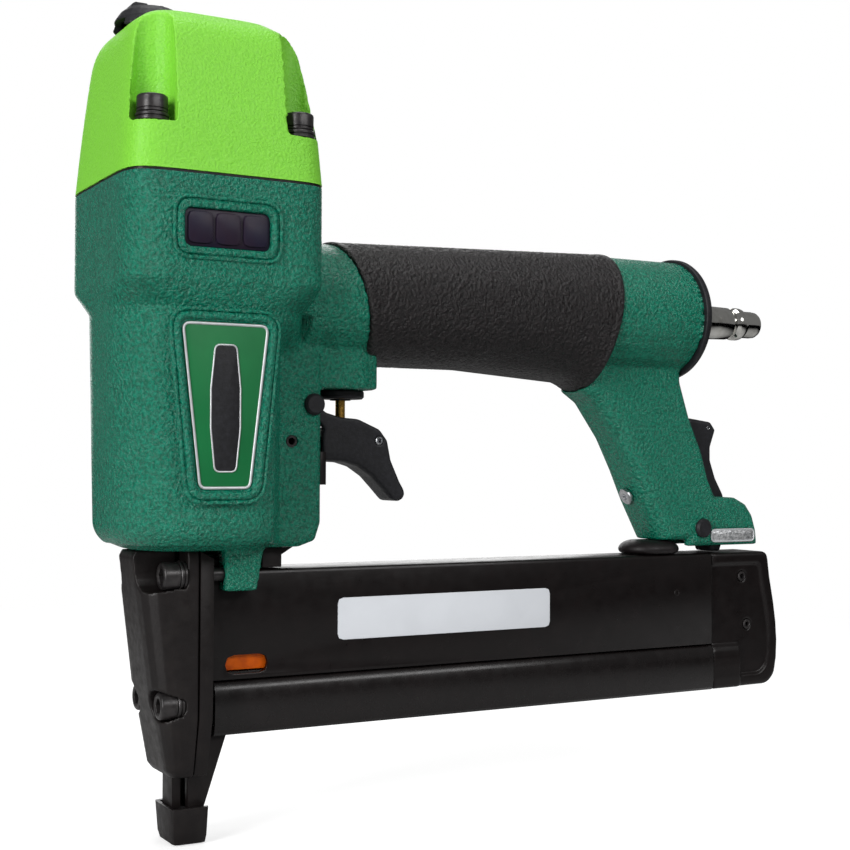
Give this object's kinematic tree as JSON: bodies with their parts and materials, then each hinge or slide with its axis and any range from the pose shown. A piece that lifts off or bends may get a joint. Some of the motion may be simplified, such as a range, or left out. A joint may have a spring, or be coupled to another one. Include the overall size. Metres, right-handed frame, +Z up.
{
  "type": "pneumatic nail gun",
  "caption": "Air-powered fastener driver: cast barrel and grip handle, screwed cap with exhaust deflector, black nose with spring contact foot, straight slide-out magazine.",
  "frame": {"origin": "on the underside of the contact foot, on the middle plane, just behind the driver blade", "axes": "+Z up along the drive direction's reverse, -Z out of the foot towards the work, +X from the nose to the air plug, -Y the side with the label"},
  "size_m": [0.2477, 0.0628, 0.2404],
  "materials": {
    "casting": "green hammer-effect paint on die-cast light alloy",
    "lime_cap": "satin lime paint on die-cast light alloy",
    "rubber": "matt, leather-like grain",
    "black_plastic": "fine-textured",
    "black_steel": "black oxide, satin",
    "black_alloy": "black anodised, satin",
    "screw_steel": "black oxide",
    "steel": "bright",
    "plug_steel": "nickel plated",
    "brass": "turned",
    "window": "dark glossy",
    "badge": "glossy",
    "label": "satin film",
    "orange": "satin",
    "amber": "urethane"
  },
  "bodies": {
    "main": {"housing": "casting", "cap": "lime_cap", "cap_gasket": "rubber", "deflector_screw": "screw_steel", "cylinder_sleeve": "steel", "bumper": "amber", "head_valve_spring": "steel", "window_left": "window", "window_right": "window", "badge_left": "badge", "badge_right": "badge", "handle_grip": "rubber", "handle_end_cap": "black_plastic", "air_plug": "plug_steel", "trigger_pin": "black_plastic", "trigger_pin_clip": "screw_steel", "valve_body": "black_plastic", "valve_spring": "steel", "stop_pin": "screw_steel", "nose_front_plate": "black_steel", "nose_guide_plate": "black_steel", "safety_spring": "steel", "magazine_cover": "black_alloy", "label_plate": "label", "latch_pin": "black_plastic", "latch_pin_clip": "screw_steel", "strut_plate": "steel", "magazine_pad": "rubber", "strut_screw": "steel", "cap_screw_1": "screw_steel", "cap_washer_1": "screw_steel", "nose_screw_1": "screw_steel", "cap_screw_2": "screw_steel", "cap_washer_2": "screw_steel", "nose_screw_2": "screw_steel", "cap_screw_3": "screw_steel", "cap_washer_3": "screw_steel", "nose_screw_3": "screw_steel", "cap_screw_4": "screw_steel", "cap_washer_4": "screw_steel", "nose_screw_4": "screw_steel"},
    "deflector": {"exhaust_deflector": "black_plastic"},
    "air_valve": {"head_valve": "black_plastic"},
    "driver": {"piston": "steel", "piston_seal": "rubber", "driver_blade": "steel"},
    "trigger_arm": {"trigger": "black_plastic", "trigger_rivet": "steel"},
    "inner_lever": {"trigger_lever": "steel"},
    "stem": {"valve_stem": "brass"},
    "contact": {"contact_foot": "black_steel", "safety_link": "black_steel"},
    "slider": {"magazine_rail": "black_alloy", "magazine_end_cap": "black_alloy", "end_cap_pin_upper": "screw_steel", "end_cap_pin_lower": "screw_steel", "pusher_spring": "steel"},
    "feeder": {"pusher": "orange"},
    "latch": {"latch_lever": "black_plastic", "latch_spring": "steel"}
  },
  "joints": [
    {"name": "deflector_turn", "type": "hinge", "parent": "main", "child": "deflector", "pos_m": [-0.0133, 0, 0.2326], "axis": [0, 0, 1], "continuous": true},
    {"name": "air_valve_lift", "type": "slide", "parent": "main", "child": "air_valve", "axis": [0, 0, 1], "range_m": [0, 0.004], "stiffness_N_per_m": 800, "springref_m": -0.015, "deforming": ["head_valve_spring"]},
    {"name": "drive_stroke", "type": "slide", "parent": "main", "child": "driver", "axis": [0, 0, -1], "range_m": [0, 0.072]},
    {"name": "trigger_pull", "type": "hinge", "parent": "main", "child": "trigger_arm", "pos_m": [0.0333, 0, 0.126], "axis": [0, -1, 0], "range_deg": [0, 12], "stiffness_Nm_per_rad": 0.8, "springref_deg": -11.46},
    {"name": "inner_lever_rise", "type": "hinge", "parent": "trigger_arm", "child": "inner_lever", "pos_m": [0.0588, 0, 0.1156], "axis": [0, 1, 0], "range_deg": [0, 5.6]},
    {"name": "stem_lift", "type": "slide", "parent": "main", "child": "stem", "axis": [0, 0, 1], "range_m": [0, 0.0033], "deforming": ["valve_spring"]},
    {"name": "contact_slide", "type": "slide", "parent": "main", "child": "contact", "axis": [0, 0, 1], "range_m": [0, 0.006], "stiffness_N_per_m": 1500, "springref_m": -0.006, "deforming": ["safety_spring"]},
    {"name": "magazine_slide", "type": "slide", "parent": "main", "child": "slider", "axis": [1, 0, 0], "range_m": [0, 0.15]},
    {"name": "feeder_slide", "type": "slide", "parent": "slider", "child": "feeder", "axis": [1, 0, 0], "range_m": [0, 0.14], "stiffness_N_per_m": 30, "springref_m": -0.1, "deforming": ["pusher_spring"]},
    {"name": "latch_press", "type": "hinge", "parent": "main", "child": "latch", "pos_m": [0.184, 0, 0.0864], "axis": [0, -1, 0], "range_deg": [0, 10], "stiffness_Nm_per_rad": 0.4, "springref_deg": -17.19}
  ],
  "couplings": [
    {"joint": "inner_lever_rise", "follows": "contact_slide", "rad_per_m": 16},
    {"joint": "stem_lift", "follows": "trigger_pull", "m_per_rad": 0.0149}
  ]
}
